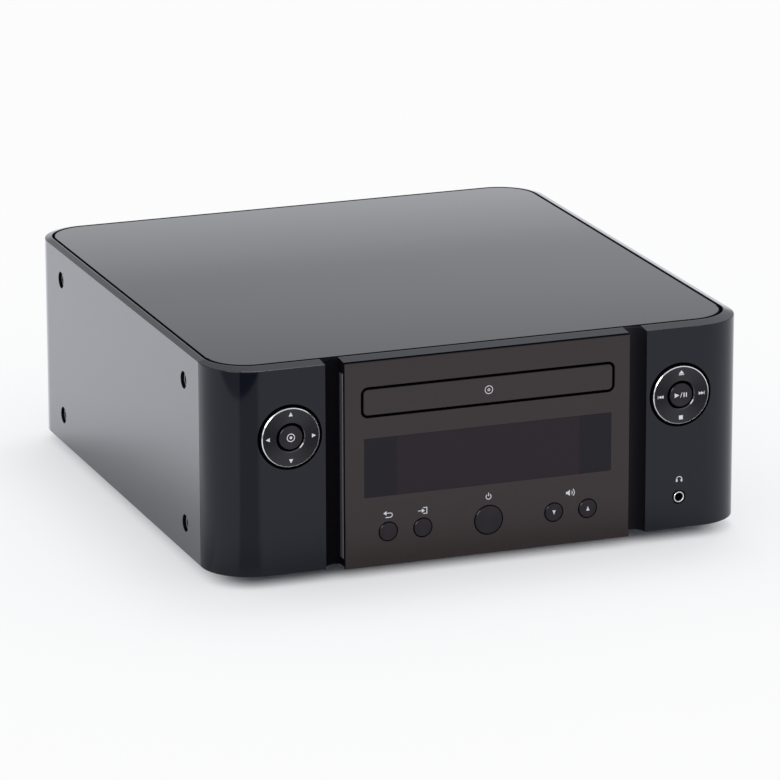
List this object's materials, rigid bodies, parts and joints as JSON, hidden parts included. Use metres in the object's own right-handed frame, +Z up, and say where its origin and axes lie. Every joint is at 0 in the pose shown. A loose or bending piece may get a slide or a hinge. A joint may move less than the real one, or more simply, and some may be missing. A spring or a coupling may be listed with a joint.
{
  "type": "cd_receiver",
  "caption": "Compact CD receiver: a wide gloss-black case with rounded corners, a centre fascia with disc tray, display and keys, four-way rings on the wings, and a let-in acrylic top plate",
  "frame": {"origin": "on the surface that the feet stand on, under the middle of the whole width and depth", "axes": "+Z up, -Y is the front, +X is the right as seen from the front"},
  "size_m": [0.28, 0.304, 0.111],
  "materials": {
    "gloss_black_plastic": "high gloss lacquered moulding",
    "gloss_black_key": "gloss moulding",
    "gloss_black_acrylic": "polished",
    "clear_black_acrylic": "polished, dark",
    "tinted_window": "polished, dark tint",
    "diffuser_plastic": "satin, translucent",
    "spun_black_metal": "spun and anodised",
    "chrome": "bright nickel plate",
    "tin_plate": "tinned",
    "zinc_steel": "zinc plated",
    "black_steel": "matt powder coat",
    "black_screw_steel": "black oxide",
    "black_abs": "fine texture",
    "black_nylon": "satin",
    "red_nylon": "satin",
    "white_acetal": "satin",
    "black_rubber": "matt",
    "green_board": "solder resist",
    "display_glass": "polished",
    "brass_pins": "plated",
    "aluminium": "extruded"
  },
  "bodies": {
    "cabinet": {"bottom_chassis": "zinc_steel", "rear_panel": "black_steel", "cabinet_cover": "gloss_black_plastic", "top_plate": "clear_black_acrylic", "front_panel": "gloss_black_plastic", "centre_fascia": "gloss_black_acrylic", "display_window": "tinted_window", "light_strips": "diffuser_plastic", "phones_jack": "black_nylon", "phones_jack_ring": "chrome", "pan_head_screws": "black_screw_steel", "feet": "black_abs", "foot_pads": "black_rubber", "front_circuit_board": "green_board", "key_switches": "black_nylon", "display_module": "display_glass", "main_circuit_board": "green_board", "power_supply_board": "green_board", "heat_sink": "aluminium", "mains_inlet": "black_nylon", "mains_inlet_pins": "brass_pins", "phono_socket_block": "black_nylon", "phono_sleeves": "chrome", "optical_sockets": "black_nylon", "network_socket": "tin_plate", "usb_socket": "tin_plate", "antenna_socket": "tin_plate", "speaker_terminal_block": "black_nylon", "speaker_contacts": "brass_pins", "loader_frame": "black_abs", "clamper_bridge": "zinc_steel", "loading_motor": "tin_plate", "loading_belt": "black_rubber"},
    "tray": {"disc_tray": "black_abs", "tray_door": "gloss_black_acrylic"},
    "tray_gear": {"tray_gear": "white_acetal"},
    "motor_pulley": {"motor_pulley": "white_acetal"},
    "cam_slider": {"cam_slider": "white_acetal"},
    "traverse": {"traverse_frame": "zinc_steel", "traverse_motors": "tin_plate", "pickup_rods": "chrome"},
    "turntable": {"turntable": "white_acetal"},
    "clamper": {"disc_clamper": "black_abs"},
    "pickup": {"pickup": "black_nylon"},
    "sled_screw": {"sled_screw": "chrome"},
    "back_key": {"back_button": "gloss_black_key"},
    "input_key": {"input_button": "gloss_black_key"},
    "power_key": {"power_button": "gloss_black_key"},
    "volume_down_key": {"volume_down_button": "gloss_black_key"},
    "volume_up_key": {"volume_up_button": "gloss_black_key"},
    "menu_flexure": {"menu_ring_flexure": "white_acetal"},
    "menu_ring": {"menu_ring": "spun_black_metal"},
    "enter_key": {"enter_button": "gloss_black_key"},
    "transport_flexure": {"transport_ring_flexure": "white_acetal"},
    "transport_ring": {"transport_ring": "spun_black_metal"},
    "play_key": {"play_button": "gloss_black_key"},
    "left_red_lever": {"left_red_lever": "red_nylon"},
    "left_black_lever": {"left_black_lever": "black_nylon"},
    "right_red_lever": {"right_red_lever": "red_nylon"},
    "right_black_lever": {"right_black_lever": "black_nylon"}
  },
  "joints": [
    {"name": "tray_slide", "type": "slide", "parent": "cabinet", "child": "tray", "axis": [0, -1, 0], "range_m": [0, 0.135]},
    {"name": "tray_gear_spin", "type": "hinge", "parent": "cabinet", "child": "tray_gear", "pos_m": [-0.05175, -0.126, 0.075], "axis": [0, 0, 1], "range_deg": [0, 1290]},
    {"name": "motor_pulley_spin", "type": "hinge", "parent": "cabinet", "child": "motor_pulley", "pos_m": [-0.018, -0.126, 0.067], "axis": [0, 0, 1], "range_deg": [0, 4566]},
    {"name": "cam_slide", "type": "slide", "parent": "cabinet", "child": "cam_slider", "axis": [1, 0, 0], "range_m": [0, 0.015]},
    {"name": "traverse_tilt", "type": "hinge", "parent": "cabinet", "child": "traverse", "pos_m": [0, 0.004, 0.0755], "axis": [1, 0, 0], "range_deg": [0, 6]},
    {"name": "spindle_spin", "type": "hinge", "parent": "traverse", "child": "turntable", "pos_m": [0, -0.075, 0.085], "axis": [0, 0, 1], "continuous": true},
    {"name": "clamper_spin", "type": "hinge", "parent": "cabinet", "child": "clamper", "pos_m": [0, -0.075, 0.096], "axis": [0, 0, 1], "continuous": true},
    {"name": "pickup_slide", "type": "slide", "parent": "traverse", "child": "pickup", "axis": [0, 1, 0], "range_m": [0, 0.033]},
    {"name": "sled_screw_spin", "type": "hinge", "parent": "traverse", "child": "sled_screw", "pos_m": [0.03, -0.03, 0.0805], "axis": [0, 1, 0], "range_deg": [0, 3960]},
    {"name": "back_press", "type": "slide", "parent": "cabinet", "child": "back_key", "axis": [0, 1, 0], "range_m": [0, 0.0006], "stiffness_N_per_m": 800, "springref_m": -0.0005},
    {"name": "input_press", "type": "slide", "parent": "cabinet", "child": "input_key", "axis": [0, 1, 0], "range_m": [0, 0.0006], "stiffness_N_per_m": 800, "springref_m": -0.0005},
    {"name": "power_press", "type": "slide", "parent": "cabinet", "child": "power_key", "axis": [0, 1, 0], "range_m": [0, 0.0006], "stiffness_N_per_m": 800, "springref_m": -0.0005},
    {"name": "volume_down_press", "type": "slide", "parent": "cabinet", "child": "volume_down_key", "axis": [0, 1, 0], "range_m": [0, 0.0006], "stiffness_N_per_m": 800, "springref_m": -0.0005},
    {"name": "volume_up_press", "type": "slide", "parent": "cabinet", "child": "volume_up_key", "axis": [0, 1, 0], "range_m": [0, 0.0006], "stiffness_N_per_m": 800, "springref_m": -0.0005},
    {"name": "menu_ring_swing", "type": "hinge", "parent": "cabinet", "child": "menu_flexure", "pos_m": [-0.1026, -0.1436, 0.0758], "axis": [0, 0, 1], "range_deg": [-1.5, 1.5], "stiffness_Nm_per_rad": 2},
    {"name": "menu_ring_nod", "type": "hinge", "parent": "menu_flexure", "child": "menu_ring", "pos_m": [-0.1026, -0.1436, 0.0758], "axis": [1, 0, 0], "range_deg": [-1.5, 1.5], "stiffness_Nm_per_rad": 2},
    {"name": "transport_ring_swing", "type": "hinge", "parent": "cabinet", "child": "transport_flexure", "pos_m": [0.1026, -0.1436, 0.0758], "axis": [0, 0, 1], "range_deg": [-1.5, 1.5], "stiffness_Nm_per_rad": 2},
    {"name": "transport_ring_nod", "type": "hinge", "parent": "transport_flexure", "child": "transport_ring", "pos_m": [0.1026, -0.1436, 0.0758], "axis": [1, 0, 0], "range_deg": [-1.5, 1.5], "stiffness_Nm_per_rad": 2},
    {"name": "enter_press", "type": "slide", "parent": "cabinet", "child": "enter_key", "axis": [0, 1, 0], "range_m": [0, 0.0006], "stiffness_N_per_m": 800, "springref_m": -0.0005},
    {"name": "play_press", "type": "slide", "parent": "cabinet", "child": "play_key", "axis": [0, 1, 0], "range_m": [0, 0.0006], "stiffness_N_per_m": 800, "springref_m": -0.0005},
    {"name": "left_red_lever_press", "type": "hinge", "parent": "cabinet", "child": "left_red_lever", "pos_m": [-0.0585, 0.142, 0.0395], "axis": [-1, 0, 0], "range_deg": [0, 25], "stiffness_Nm_per_rad": 0.3, "springref_deg": -5.73},
    {"name": "left_black_lever_press", "type": "hinge", "parent": "cabinet", "child": "left_black_lever", "pos_m": [-0.0455, 0.142, 0.0395], "axis": [-1, 0, 0], "range_deg": [0, 25], "stiffness_Nm_per_rad": 0.3, "springref_deg": -5.73},
    {"name": "right_red_lever_press", "type": "hinge", "parent": "cabinet", "child": "right_red_lever", "pos_m": [-0.0325, 0.142, 0.0395], "axis": [-1, 0, 0], "range_deg": [0, 25], "stiffness_Nm_per_rad": 0.3, "springref_deg": -5.73},
    {"name": "right_black_lever_press", "type": "hinge", "parent": "cabinet", "child": "right_black_lever", "pos_m": [-0.0195, 0.142, 0.0395], "axis": [-1, 0, 0], "range_deg": [0, 25], "stiffness_Nm_per_rad": 0.3, "springref_deg": -5.73}
  ],
  "couplings": [
    {"joint": "tray_gear_spin", "follows": "tray_slide", "rad_per_m": 166.67},
    {"joint": "motor_pulley_spin", "follows": "tray_slide", "rad_per_m": 590.27},
    {"joint": "traverse_tilt", "follows": "cam_slide", "rad_per_m": 6.9813},
    {"joint": "clamper_spin", "follows": "spindle_spin", "ratio": 1},
    {"joint": "sled_screw_spin", "follows": "pickup_slide", "rad_per_m": 2094.4}
  ]
}
